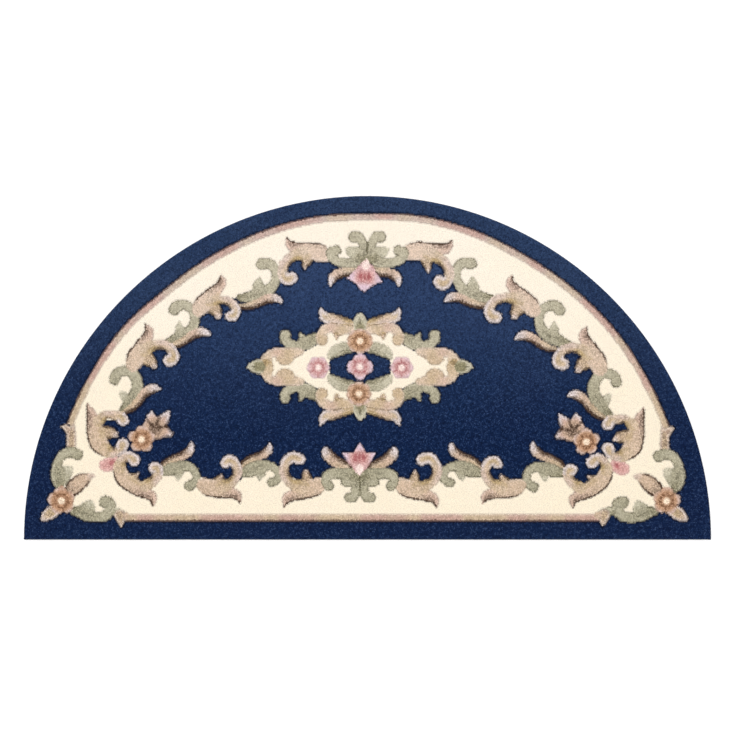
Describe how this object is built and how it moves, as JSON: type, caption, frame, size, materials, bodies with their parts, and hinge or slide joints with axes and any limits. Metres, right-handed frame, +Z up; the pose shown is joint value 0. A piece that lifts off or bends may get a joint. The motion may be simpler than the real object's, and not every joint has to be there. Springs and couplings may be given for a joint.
{
  "type": "half-moon tufted hearth rug",
  "caption": "Half-round wool rug of cut pile with a dark border, raised scrolls, leaves and flowers and a lozenge medallion; lies flat in front of a hearth or a door.",
  "frame": {"origin": "middle of the underside of the rug: half way along its straight edge and half way from that edge to the top of the arc, on the floor", "axes": "+X along the straight edge, to the right as the rug is read; +Y from the straight edge to the top of the arc; +Z up out of the pile"},
  "size_m": [1.372, 0.686, 0.0136],
  "materials": {
    "pile": "cut wool pile in navy, cream, tan, sage and rose"
  },
  "bodies": {
    "root": {"rug": "pile"}
  },
  "joints": []
}
